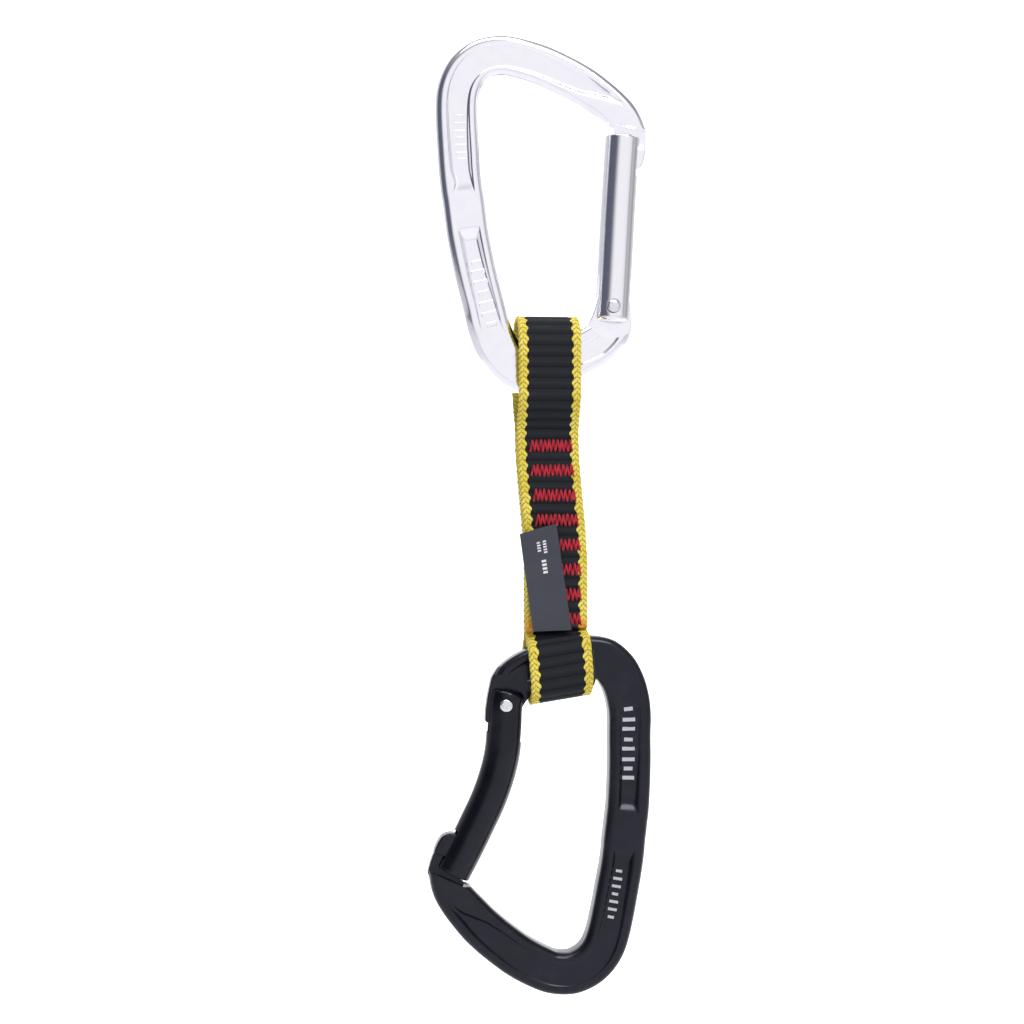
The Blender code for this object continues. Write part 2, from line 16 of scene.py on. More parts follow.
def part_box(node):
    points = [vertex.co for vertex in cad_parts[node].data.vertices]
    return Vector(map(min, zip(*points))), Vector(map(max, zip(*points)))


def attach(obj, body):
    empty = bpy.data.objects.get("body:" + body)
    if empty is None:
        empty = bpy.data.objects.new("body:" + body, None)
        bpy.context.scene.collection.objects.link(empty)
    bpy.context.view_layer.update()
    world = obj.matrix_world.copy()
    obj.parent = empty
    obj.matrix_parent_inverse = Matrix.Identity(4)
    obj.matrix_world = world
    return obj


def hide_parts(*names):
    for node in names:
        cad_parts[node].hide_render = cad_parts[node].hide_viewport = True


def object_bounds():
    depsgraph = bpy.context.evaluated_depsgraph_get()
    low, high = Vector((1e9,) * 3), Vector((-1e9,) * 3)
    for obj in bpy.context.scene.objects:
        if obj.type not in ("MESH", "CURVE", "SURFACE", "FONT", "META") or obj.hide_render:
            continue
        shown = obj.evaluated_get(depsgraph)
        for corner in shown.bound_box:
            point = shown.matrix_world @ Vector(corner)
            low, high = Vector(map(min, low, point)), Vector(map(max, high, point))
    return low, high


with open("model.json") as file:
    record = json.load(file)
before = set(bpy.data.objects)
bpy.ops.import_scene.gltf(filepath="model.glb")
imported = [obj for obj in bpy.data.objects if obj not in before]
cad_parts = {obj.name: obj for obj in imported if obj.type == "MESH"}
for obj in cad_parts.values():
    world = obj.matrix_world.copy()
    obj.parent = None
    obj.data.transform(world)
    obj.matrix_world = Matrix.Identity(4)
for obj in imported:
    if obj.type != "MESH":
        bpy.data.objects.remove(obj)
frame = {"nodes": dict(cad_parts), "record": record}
CAD_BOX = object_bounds()
JOINTS = {joint["name"]: joint for joint in frame["record"]["behaviour"]["joints"]}
MM = 0.001
random.seed(7)

# ------------------------ sizes
UPPER_LEAN = 4.0
LOWER_LEAN = 18.0
FRAME_WIDTH = 11.8
FRAME_THICKNESS = 9.0
BASKET_THICKNESS = 8.4
EDGE_RADIUS = 2.3
BASKET_RADIUS = 4.0
CROWN = 0.14
NOSE_FACING = (-7.0, 16.0, 32.0, 47.0, 56.0)
# x and z of the frame's middle, width added, then thickness and corner kind.
FRAME_PATH = (
    (-0.35, 50.8, 0.0), (0.8, 52.4, -0.9), (2.4, 54.2, -0.9), (4.9, 56.2, -0.9),
    (8.7, 58.6, -0.5), (12.6, 60.8, -0.2), (18.4, 63.3, 0.0), (25.9, 65.8, 0.1),
    (33.5, 67.1, 0.0), (37.3, 66.9, 0.0), (40.9, 65.8, 0.0), (43.4, 64.0, 0.0),
    (45.4, 61.7, 0.0), (46.8, 58.8, 0.0), (47.5, 55.5, 0.1), (47.5, 51.5, 0.1),
    (47.0, 46.2, 0.1), (46.2, 40.0, 0.1), (45.4, 34.0, 0.0), (44.5, 29.0, 0.0),
    (43.8, 26.0, 0.0), (42.3, 18.5, 0.0), (41.6, 15.5, 0.0), (40.1, 10.0, 0.0),
    (38.3, 4.0, 0.0), (36.3, -2.0, 0.0), (34.4, -8.0, 0.1),
    (32.4, -12.3, 0.2), (29.8, -16.0, 0.2), (26.6, -18.9, 0.2), (22.9, -20.4, 0.3),
    (19.0, -19.8, 0.5), (14.7, -17.5, 0.6), (8.6, -14.2, 0.6),
    (3.6, -10.8, 0.3), (0.7, -7.4, 0.0), (0.0, -3.0, 0.0),
)
BASKET_START = 27
HINGE_START = 34
# Pockets: x, z, width of the outer and inner rims and depth.
POCKETS = (
    (3.2, 54.9, 2.0, 7.6, 0.0), (5.6, 56.8, 1.9, 6.6, 0.7), (8.7, 58.6, 1.8, 4.8, 1.3),
    (12.6, 60.8, 1.8, 3.0, 1.2), (18.4, 63.3, 1.9, 2.3, 0.9), (25.9, 65.8, 2.2, 2.1, 0.55),
    (33.5, 67.1, 2.5, 2.1, 0.35), (40.9, 65.8, 2.6, 2.0, 0.22), (45.4, 61.7, 2.7, 1.8, 0.22),
    (47.5, 55.5, 2.8, 1.5, 0.45), (47.0, 46.2, 2.8, 1.4, 0.85), (46.2, 40.0, 2.8, 1.3, 1.1),
    (45.4, 34.0, 2.8, 1.2, 1.35), (44.9, 30.9, 2.8, 1.2, 1.5), (44.3, 27.9, 2.9, 1.6, 0.0),
    (42.2, 18.0, 3.1, 1.6, 0.0), (41.6, 15.3, 3.1, 1.3, 1.5), (40.1, 10.0, 3.1, 1.3, 1.3),
    (38.3, 4.0, 3.1, 1.4, 1.0), (36.3, -2.0, 3.1, 1.5, 0.6), (34.4, -8.0, 3.2, 1.8, 0.2),
    (32.4, -12.3, 3.4, 2.4, 0.0), (14.7, -17.5, 3.6, 3.6, 0.0), (8.6, -14.2, 3.2, 3.6, 0.35),
    (4.6, -11.6, 2.6, 3.6, 0.5), (2.0, -9.0, 2.6, 3.6, 0.5),
)
FRAME_STATIONS = 400

SHOULDER_RADIUS = 8.8
TANG_THICKNESS = 4.0
TANG = (
    (-2.5, -13.0), (3.0, -14.5), (8.2, -10.5), (7.4, -6.6), (6.1, -4.7),
    (5.2, -2.4), (4.5, 0.5), (3.9, 3.5), (2.8, 5.5), (1.6, 6.2), (-3.9, 6.2),
    (-4.8, 3.0), (-5.5, -1.0), (-6.0, -6.0), (-5.2, -9.2),
)
RIVET_RADIUS = 1.4
RIVET_HEAD = 1.75
NECK = (
    (4.4, 54.0), (-3.8, 54.0), (-6.2, 51.0), (-6.4, 48.0), (-6.3, 44.0),
    (-5.9, 41.5), (2.2, 43.0), (2.7, 46.0), (2.7, 49.8), (4.4, 50.5),
)
NOSE = (
    (2.8, 45.2), (-6.5, 45.2), (-6.2, 42.0), (-5.6, 39.9), (-4.1, 38.7),
    (-2.5, 38.2), (-0.2, 38.7), (1.4, 40.2), (2.4, 42.5),
)
GATE_RADIUS = 5.05
STRAIGHT_GATE = ((-0.4, -4.2), (-0.3, 8.0), (0.0, 28.0), (0.1, 48.3))
BENT_GATE = (
    (-0.3, -4.2), (0.4, 0.5), (1.9, 6.0), (3.5, 13.0), (4.05, 20.0),
    (3.8, 27.0), (2.9, 34.0), (1.9, 41.0), (0.5, 49.2),
)
BORE_TILT = {"upper": 0.0, "lower": 12.0}
BORE_END = {"upper": 29.7, "lower": 24.4}

WEB_WIDTH = 17.6
WEB_THICKNESS = 1.8
GAP = 0.3
STACK_SHIFT = -0.5
UPPER_LOOP_HALF = 7.7
UPPER_FOLD_Z = -75.4
UPPER_JOIN_TOP = -88.5
UPPER_JOIN_END = -99.3
INNER_END_Z = -99.8
FRONT_END_Z = -154.2
LOWER_JOIN_TOP = -154.6
LOWER_JOIN_END = -159.4
LOWER_FOLD_Z = -165.8
LOWER_LOOP_HALF = 7.3
KEEPER_HALF = 5.7
KEEPER_THICKNESS = 0.8
# The keeper's sides run this far above the lower fold.
KEEPER_LENGTH = 4.5
# Half width and offset; its left end is 1.8 mm shorter than the CAD keeper's, for the rod.
KEEPER_HALF_WIDTH = 6.4
KEEPER_SHIFT = 3.3
RIB = 3.0
# The webbing's inner side is sunk to clear the rods in the loops, and nearly flat elsewhere.
LOOP_SINK = 0.42
STACK_SINK = 0.05
# A strip's edges round outwards, wave with the ribs and lie this far in.
EDGE_ROUND = 0.05
EDGE_WAVE = 0.07
EDGE_INSET = 0.12
TACK_COUNT = 8
TACK_FIRST = -102.9
TACK_LAST = -151.3
TACK_WIDTH = 12.6


# ------------------------ mesh helpers
def new_object(name, points, faces, uvs=None, place=None):
    """A smooth-shaded object from points in millimetres."""
    mesh = bpy.data.meshes.new(name)
    mesh.from_pydata([tuple(c * MM for c in p) for p in points], [], faces)
    if uvs is not None:
        layer = mesh.uv_layers.new(name="UVMap")
        for loop in mesh.loops:
            layer.data[loop.index].uv = uvs[loop.vertex_index]
    mesh.validate()
    if place is not None:
        mesh.transform(place)
    bm = bmesh.new()
    bm.from_mesh(mesh)
    bmesh.ops.recalc_face_normals(bm, faces=bm.faces)
    bm.to_mesh(mesh)
    bm.free()
    mesh.shade_smooth()
    obj = bpy.data.objects.new(name, mesh)
    bpy.context.collection.objects.link(obj)
    return obj


def ring_faces(rings, count, capped=True):
    faces = []
    for ring in range(rings - 1):
        here, there = ring * count, (ring + 1) * count
        for i in range(count):
            j = (i + 1) % count
            faces.append((here + i, here + j, there + j, there + i))
    if capped:
        faces.append(tuple(reversed(range(count))))
        faces.append(tuple(range((rings - 1) * count, rings * count)))
    return faces


def lofted(name, rings, place=None, uvs=None):
    points = [p for ring in rings for p in ring]
    return new_object(name, points, ring_faces(len(rings), len(rings[0])), uvs, place)


def applied(obj):
    """Apply every modifier."""
    graph = bpy.context.evaluated_depsgraph_get()
    mesh = bpy.data.meshes.new_from_object(obj.evaluated_get(graph))
    obj.modifiers.clear()
    obj.data = mesh
    return obj


def combine(obj, tool, operation):
    modifier = obj.modifiers.new("combine", "BOOLEAN")
    modifier.operation = operation
    modifier.solver = "MANIFOLD"
    modifier.object = tool
    applied(obj)
    bpy.data.objects.remove(tool, do_unlink=True)
    return obj


def softened(obj, width, angle=35.0, segments=2):
    """Small bevel on the sharp edges, then smooth shading between them."""
    modifier = obj.modifiers.new("soft", "BEVEL")
    modifier.width = width * MM
    modifier.segments = segments
    modifier.limit_method = "ANGLE"
    modifier.angle_limit = math.radians(angle)
    modifier.miter_outer = "MITER_ARC"
    modifier.harden_normals = False
    applied(obj)
    smooth_by_angle(obj)
    return obj


def smooth_by_angle(obj, angle=32.0):
    mesh = obj.data
    mesh.shade_smooth()
    mesh.set_sharp_from_angle(angle=math.radians(angle))


def plate(name, outline, low_y, high_y, rim=0.0):
    """An outline in x and z with thickness; rim rounds its two edges."""
    if rim <= 0:
        return lofted(name, [[(x, y, z) for x, z in outline] for y in (low_y, high_y)])
    cx = sum(x for x, _ in outline) / len(outline)
    cz = sum(z for _, z in outline) / len(outline)
    levels = [(low_y + rim * (1 - math.sin(a)), rim * (1 - math.cos(a)))
              for a in [math.pi / 2 * (4 - k) / 4 for k in range(5)]]
    levels += [(high_y - (y - low_y), inset) for y, inset in reversed(levels)]
    rings = []
    for y, inset in levels:
        ring = []
        for x, z in outline:
            reach = max(math.hypot(x - cx, z - cz), 1e-6)
            share = 1 - inset / reach
            ring.append((cx + (x - cx) * share, y, cz + (z - cz) * share))
        rings.append(ring)
    return lofted(name, rings)


def box(name, low, high):
    outline = ((low[0], low[2]), (high[0], low[2]), (high[0], high[2]), (low[0], high[2]))
    return plate(name, outline, low[1], high[1])


def circle(radius, sides):
    step = 2 * math.pi / sides
    return [(radius * math.cos(i * step), radius * math.sin(i * step)) for i in range(sides)]


def cross_pin(name, steps, sides=48):
    return lofted(name, [[(x, y, z) for x, z in circle(r, sides)] for y, r in steps])


def long_pin(name, steps, sides=48):
    return lofted(name, [[(x, y, z) for x, y in circle(r, sides)] for z, r in steps])


def smooth(knots, value):
    """Catmull-Rom through rows of numbers."""
    last = len(knots) - 1
    i = min(int(value), last - 1)
    t = value - i
    rows = [knots[max(0, min(last, j))] for j in (i - 1, i, i + 1, i + 2)]
    result = []
    for a, b, c, d in zip(*rows):
        bend = (2 * a - 5 * b + 4 * c - d) * t * t + (3 * b - 3 * c + d - a) * t ** 3
        result.append(0.5 * (2 * b + (c - a) * t + bend))
    return result


def even_rows(dense, stations):
    lengths = [0.0]
    for a, b in zip(dense, dense[1:]):
        lengths.append(lengths[-1] + math.dist(a[:2], b[:2]))
    rows, j = [], 0
    for station in range(stations):
        want = lengths[-1] * station / (stations - 1)
        while j < len(dense) - 2 and lengths[j + 1] < want:
            j += 1
        part = (want - lengths[j]) / max(lengths[j + 1] - lengths[j], 1e-9)
        rows.append([a + (b - a) * part for a, b in zip(dense[j], dense[j + 1])])
    return rows


def smoothed(knots, stations, fine=24):
    dense = [smooth(knots, i / fine) for i in range((len(knots) - 1) * fine + 1)]
    return even_rows(dense, stations)


def headings(rows):
    found = []
    for i in range(len(rows)):
        a, b = rows[max(0, i - 1)], rows[min(len(rows) - 1, i + 1)]
        length = math.dist(a[:2], b[:2])
        found.append(((b[0] - a[0]) / length, (b[1] - a[1]) / length))
    return found


def ease(t):
    t = min(1.0, max(0.0, t))
    return t * t * (3 - 2 * t)


def placed(hinge, x_way, z_way):
    x_axis, z_axis = Vector((x_way[0], 0, x_way[1])), Vector((z_way[0], 0, z_way[1]))
    turn = Matrix((x_axis, z_axis.cross(x_axis), z_axis)).transposed().to_4x4()
    return Matrix.Translation(Vector(hinge)) @ turn


UP, DOWN = math.radians(UPPER_LEAN), math.radians(LOWER_LEAN)
PLACES = {
    "upper": placed(
        JOINTS["upper_gate_hinge"]["pos_m"],
        (-math.cos(UP), math.sin(UP)),
        (math.sin(UP), math.cos(UP)),
    ),
    "lower": placed(
        JOINTS["lower_gate_hinge"]["pos_m"],
        (math.cos(DOWN), -math.sin(DOWN)),
        (-math.sin(DOWN), -math.cos(DOWN)),
    ),
}


# ------------------------ materials
def nodes_of(name):
    material = bpy.data.materials.new(name)
    material.use_nodes = True
    tree = material.node_tree
    return material, tree, tree.nodes["Principled BSDF"]


def math_node(tree, operation, a, b=None, c=None):
    node = tree.nodes.new("ShaderNodeMath")
    node.operation = operation
    for socket, value in zip(node.inputs, (a, b, c)):
        if value is None:
            continue
        if isinstance(value, (int, float)):
            socket.default_value = value
        else:
            tree.links.new(value, socket)
    return node.outputs[0]


def ranged(tree, value, low, high, new_low=0.0, new_high=1.0):
    node = tree.nodes.new("ShaderNodeMapRange")
    node.interpolation_type = "SMOOTHSTEP"
    tree.links.new(value, node.inputs["Value"])
    settings = {"From Min": low, "From Max": high, "To Min": new_low, "To Max": new_high}
    for name, number in settings.items():
        node.inputs[name].default_value = number
    return node.outputs["Result"]


def noise_node(tree, vector, scale, detail=3.0, roughness=0.5):
    node = tree.nodes.new("ShaderNodeTexNoise")
    node.inputs["Scale"].default_value = scale
    node.inputs["Detail"].default_value = detail
    node.inputs["Roughness"].default_value = roughness
    if vector is not None:
        tree.links.new(vector, node.inputs["Vector"])
    return node.outputs["Fac"]


def mixed(tree, factor, a, b):
    node = tree.nodes.new("ShaderNodeMix")
    node.data_type = "RGBA"
    for socket, value in ((node.inputs[0], factor), (node.inputs[6], a), (node.inputs[7], b)):
        if isinstance(value, tuple):
            socket.default_value = (*value, 1.0)
        elif isinstance(value, (int, float)):
            socket.default_value = value
        else:
            tree.links.new(value, socket)
    return node.outputs[2]


def bumped(tree, shader, height, strength, distance_mm):
    node = tree.nodes.new("ShaderNodeBump")
    node.inputs["Strength"].default_value = strength
    node.inputs["Distance"].default_value = distance_mm * MM
    tree.links.new(height, node.inputs["Height"])
    tree.links.new(node.outputs["Normal"], shader.inputs["Normal"])


def coordinates(tree, kind="Object", scale=(1, 1, 1)):
    source = tree.nodes.new("ShaderNodeTexCoord")
    mapping = tree.nodes.new("ShaderNodeMapping")
    mapping.inputs["Scale"].default_value = scale
    tree.links.new(source.outputs[kind], mapping.inputs["Vector"])
    return mapping.outputs["Vector"]


def metal(name, base, roughness, wear, grain=(60, 60, 900), tint=None):
    """Polished or satin metal with fine grain, faint smears and small scratches."""
    material, tree, shader = nodes_of(name)
    shader.inputs["Metallic"].default_value = 1.0
    spots = noise_node(tree, coordinates(tree), 260.0, 4.0)
    fine = noise_node(tree, coordinates(tree, scale=grain), 8.0, 5.0, 0.65)
    colour = mixed(tree, ranged(tree, spots, 0.3, 0.75), base, tint or base)
    tree.links.new(colour, shader.inputs["Base Color"])
    rough = math_node(tree, "MULTIPLY_ADD", spots, wear, roughness - wear / 2)
    rough = math_node(tree, "MULTIPLY_ADD", fine, wear * 0.6, rough)
    tree.links.new(rough, shader.inputs["Roughness"])
    bumped(tree, shader, fine, 0.12, 0.02)
    return material


def anodised(name, base, roughness):
    """Black anodised aluminium: dark body colour under a satin clear oxide."""
    material, tree, shader = nodes_of(name)
    shader.inputs["Metallic"].default_value = 0.0
    shader.inputs["IOR"].default_value = 1.43
    shader.inputs["Specular Tint"].default_value = (0.84, 0.84, 1.0, 1.0)
    spots = noise_node(tree, coordinates(tree), 190.0, 5.0)
    grain = noise_node(tree, coordinates(tree), 5200.0, 2.0)
    lighter = tuple(c * 1.6 + 0.002 for c in base)
    tree.links.new(
        mixed(tree, ranged(tree, spots, 0.35, 0.8), base, lighter), shader.inputs["Base Color"]
    )
    rough = math_node(tree, "MULTIPLY_ADD", spots, 0.1, roughness - 0.05)
    tree.links.new(rough, shader.inputs["Roughness"])
    bumped(tree, shader, grain, 0.1, 0.015)
    return material


def webbing_material():
    """Black ribbed centre and yellow braided edges, from the strip's own map.

    U is the distance across the strip and V the distance along it, both in
    decimetres, so one number in the nodes is one hundred millimetres.
    """
    material, tree, shader = nodes_of("webbing_weave")
    uv = tree.nodes.new("ShaderNodeUVMap")
    uv.uv_map = "UVMap"
    split = tree.nodes.new("ShaderNodeSeparateXYZ")
    tree.links.new(uv.outputs["UV"], split.inputs[0])
    across = math_node(tree, "MULTIPLY", split.outputs[0], 100.0)
    along = math_node(tree, "MULTIPLY", split.outputs[1], 100.0)
    other = math_node(tree, "SUBTRACT", WEB_WIDTH, across)
    edge = math_node(tree, "MINIMUM", across, other)
    turn = math_node(tree, "MULTIPLY", along, 2 * math.pi / RIB)
    wave = math_node(tree, "SINE", turn)
    border = math_node(tree, "MULTIPLY_ADD", wave, 0.3, 2.5)
    inside = math_node(tree, "SUBTRACT", edge, border)
    black_share = ranged(tree, inside, -0.08, 0.08)
    # Yarn lines: a fine twill in the middle and V-shaped yarns in the edges; the grooves
    # between the edge yarns are painted shade.
    fuzz = noise_node(tree, coordinates(tree), 2600.0, 3.0, 0.7)
    patch = noise_node(tree, coordinates(tree), 160.0, 3.0)
    yarn = math_node(tree, "SINE", math_node(tree, "MULTIPLY", across, 2 * math.pi / 0.62))
    pick = math_node(tree, "SINE", math_node(tree, "MULTIPLY", along, 2 * math.pi / 0.5))
    twill = math_node(tree, "MULTIPLY", yarn, pick)
    middle = math_node(tree, "ABSOLUTE", math_node(tree, "SUBTRACT", edge, 1.35))
    slope = math_node(tree, "MULTIPLY_ADD", middle, 0.9, along)
    chevron = math_node(tree, "SINE", math_node(tree, "MULTIPLY", slope, 2 * math.pi / 1.5))
    yarn_low = ranged(tree, chevron, -1.0, -0.35)
    light = mixed(tree, ranged(tree, patch, 0.3, 0.7), (0.76, 0.60, 0.055), (0.90, 0.76, 0.13))
    # The darker V lines in the yellow are painted shade in the grooves between the edge yarns.
    shade = mixed(tree, yarn_low, (0.46, 0.33, 0.025), light)
    # Painted shade in the pits where the edge yarns cross.
    pit_u = math_node(tree, "COSINE", math_node(tree, "MULTIPLY", edge, 2 * math.pi / 1.25))
    pit_v = math_node(tree, "COSINE", math_node(tree, "MULTIPLY", along, 2 * math.pi / 1.5))
    pit = ranged(tree, math_node(tree, "MULTIPLY", pit_u, pit_v), 0.45, 0.95, 0.0, 0.6)
    shade = mixed(tree, pit, shade, (0.10, 0.06, 0.004))
    yellow = mixed(tree, ranged(tree, fuzz, 0.35, 0.8, 0.0, 0.3), shade, (0.85, 0.72, 0.22))
    # Heat-cut ends: the yellow browns and the black goes glassy.
    length = total_length()
    far = math_node(tree, "SUBTRACT", length, along)
    end = math_node(tree, "MINIMUM", along, far)
    burn = ranged(tree, end, 0.6, 4.6, 1.0, 0.0)
    yellow = mixed(tree, math_node(tree, "MULTIPLY", burn, 0.85), yellow, (0.75, 0.30, 0.03))
    glint = ranged(tree, twill, -0.2, 1.0)
    black = mixed(tree, glint, (0.006, 0.0075, 0.010), (0.016, 0.019, 0.026))
    # Valleys between the ribs hold shadow and the crests catch a little light.
    rib_turn = math_node(tree, "MULTIPLY_ADD", along, math.pi / RIB, math.pi * 0.25)
    crest = math_node(tree, "ABSOLUTE", math_node(tree, "SINE", rib_turn))
    valley = ranged(tree, crest, 0.0, 0.42, 1.0, 0.0)
    black = mixed(tree, valley, black, (0.0015, 0.002, 0.003))
    top = ranged(tree, crest, 0.75, 1.0, 0.0, 0.16)
    black = mixed(tree, top, black, (0.035, 0.041, 0.052))
    black = mixed(tree, ranged(tree, fuzz, 0.55, 0.95, 0.0, 0.18), black, (0.05, 0.056, 0.07))
    tree.links.new(mixed(tree, black_share, yellow, black), shader.inputs["Base Color"])
    rough = math_node(tree, "MULTIPLY_ADD", burn, -0.35, 0.78)
    tree.links.new(rough, shader.inputs["Roughness"])
    shader.inputs["Specular IOR Level"].default_value = 0.3
    edge_relief = math_node(tree, "MULTIPLY", yarn_low, 0.8)
    centre_relief = math_node(tree, "MULTIPLY_ADD", twill, 0.28, 0.4)
    relief = tree.nodes.new("ShaderNodeMix")
    tree.links.new(black_share, relief.inputs[0])
    tree.links.new(edge_relief, relief.inputs[2])
    tree.links.new(centre_relief, relief.inputs[3])
    height = math_node(tree, "MULTIPLY_ADD", fuzz, 0.35, relief.outputs[0])
    bumped(tree, shader, height, 0.8, 0.16)
    return material


def thread_material(name, dark, light):
    material, tree, shader = nodes_of(name)
    uv = tree.nodes.new("ShaderNodeUVMap")
    uv.uv_map = "UVMap"
    split = tree.nodes.new("ShaderNodeSeparateXYZ")
    tree.links.new(uv.outputs["UV"], split.inputs[0])
    twist = math_node(tree, "MULTIPLY_ADD", split.outputs[1], 1500.0, 0.0)
    twist = math_node(tree, "MULTIPLY_ADD", split.outputs[0], 2 * math.pi, twist)
    strand = math_node(tree, "SINE", twist)
    fuzz = noise_node(tree, coordinates(tree), 3000.0, 3.0)
    share = math_node(tree, "MULTIPLY_ADD", fuzz, 0.5, math_node(tree, "MULTIPLY", strand, 0.3))
    tree.links.new(
        mixed(tree, ranged(tree, share, -0.1, 0.5), dark, light), shader.inputs["Base Color"]
    )
    shader.inputs["Roughness"].default_value = 0.6
    shader.inputs["Specular IOR Level"].default_value = 0.35
    bumped(tree, shader, strand, 0.6, 0.05)
    return material


def label_material():
    """Smooth slate tape with plain white blocks where a label has its print."""
    material, tree, shader = nodes_of("label_tape")
    uv = tree.nodes.new("ShaderNodeUVMap")
    uv.uv_map = "UVMap"
    split = tree.nodes.new("ShaderNodeSeparateXYZ")
    tree.links.new(uv.outputs["UV"], split.inputs[0])
    u, v = split.outputs[0], split.outputs[1]
    # Dashes as (centre u, centre v, half width, half length).
    blocks = [(0.62, 0.865 - 0.026 * i, 0.045, 0.008) for i in range(5)]
    blocks += [(0.46, 0.865 - 0.026 * i, 0.045, 0.008) for i in range(4)]
    blocks += [(0.54, 0.68 - 0.036 * i, 0.06, 0.011) for i in range(4)]
    ink = None
    for cu, cv, hu, hv in blocks:
        du = math_node(tree, "ABSOLUTE", math_node(tree, "SUBTRACT", u, cu))
        dv = math_node(tree, "ABSOLUTE", math_node(tree, "SUBTRACT", v, cv))
        inside = math_node(
            tree, "MULTIPLY",
            math_node(tree, "LESS_THAN", du, hu), math_node(tree, "LESS_THAN", dv, hv),
        )
        ink = inside if ink is None else math_node(tree, "MAXIMUM", ink, inside)
    fuzz = noise_node(tree, coordinates(tree), 1800.0, 3.0)
    patch = noise_node(tree, coordinates(tree), 140.0, 2.0)
    ink = math_node(tree, "MULTIPLY", ink, ranged(tree, fuzz, 0.2, 0.42))
    cloth = mixed(tree, patch, (0.045, 0.048, 0.062), (0.058, 0.061, 0.077))
    warp = math_node(tree, "SINE", math_node(tree, "MULTIPLY", u, 300.0))
    weft = math_node(tree, "SINE", math_node(tree, "MULTIPLY", v, 760.0))
    weave = math_node(tree, "MULTIPLY", warp, weft)
    cloth = mixed(tree, ranged(tree, weave, 0.0, 1.0, 0.0, 0.3), cloth, (0.075, 0.078, 0.095))
    tree.links.new(mixed(tree, ink, cloth, (0.80, 0.80, 0.80)), shader.inputs["Base Color"])
    shader.inputs["Roughness"].default_value = 0.6
    shader.inputs["Specular IOR Level"].default_value = 0.3
    bumped(tree, shader, weave, 0.25, 0.03)
    return material


def rubber_material():
    material, tree, shader = nodes_of("keeper_rubber")
    spots = noise_node(tree, coordinates(tree), 900.0, 4.0)
    colour = mixed(tree, spots, (0.010, 0.012, 0.010), (0.022, 0.026, 0.021))
    tree.links.new(colour, shader.inputs["Base Color"])
    tree.links.new(
        math_node(tree, "MULTIPLY_ADD", spots, 0.2, 0.45), shader.inputs["Roughness"]
    )
    bumped(tree, shader, spots, 0.3, 0.04)
    return material


def paint(obj, material):
    obj.data.materials.clear()
    obj.data.materials.append(material)
    return obj


# ------------------------ stage
def make_camera():
    low, high = CAD_BOX
    middle = [(low[i] + high[i]) / 2 for i in range(3)]
    distance, turn = 0.55, math.radians(CAMERA_TURN)
    target = Vector((middle[0] + CAMERA_RIGHT * MM, 0.0, middle[2] + CAMERA_UP * MM))
    away = Vector((math.sin(turn), -math.cos(turn), 0.0))
    data = bpy.data.cameras.new("camera")
    data.sensor_width = 36.0
    data.lens = 36.0 * distance / (1024 * 0.28 * MM)
    camera = bpy.data.objects.new("camera", data)
    camera.location = target + away * distance
    camera.rotation_euler = (math.pi / 2, 0.0, turn)
    bpy.context.collection.objects.link(camera)
    bpy.context.scene.camera = camera


CAMERA_TURN = -6.5
CAMERA_RIGHT = -7.66
CAMERA_UP = 1.08


